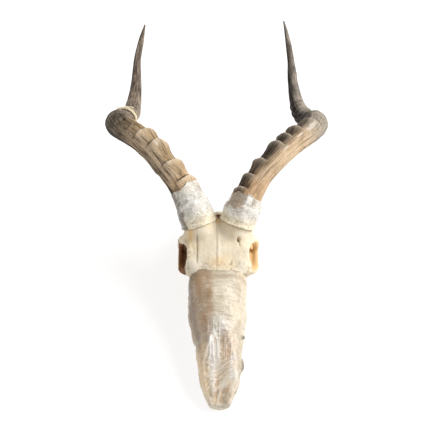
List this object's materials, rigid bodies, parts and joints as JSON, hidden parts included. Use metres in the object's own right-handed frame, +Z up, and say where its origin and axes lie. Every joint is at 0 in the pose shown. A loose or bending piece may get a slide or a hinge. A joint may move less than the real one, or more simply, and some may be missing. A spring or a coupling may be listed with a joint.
{
  "type": "impala skull with horns",
  "caption": "Impala skull with lyre-shaped ringed horns, resting on its palate, with cling film round the snout and the feet of the horns and a tie round the left horn.",
  "frame": {"origin": "under the middle of the whole, on the surface that the skull rests on", "axes": "+Z up, the snout points to -Y and the horn tips to +Y, and +X is the right of someone who faces the snout"},
  "size_m": [0.3204, 0.5255, 0.2116],
  "materials": {
    "bone": "matte",
    "horn": "satin",
    "film": "gloss",
    "elastic": "matte"
  },
  "bodies": {
    "root": {"skull": "bone", "horn_left": "horn", "horn_right": "horn", "snout_film": "film", "horn_film_left": "film", "horn_film_right": "film", "horn_tie": "elastic"}
  },
  "joints": []
}
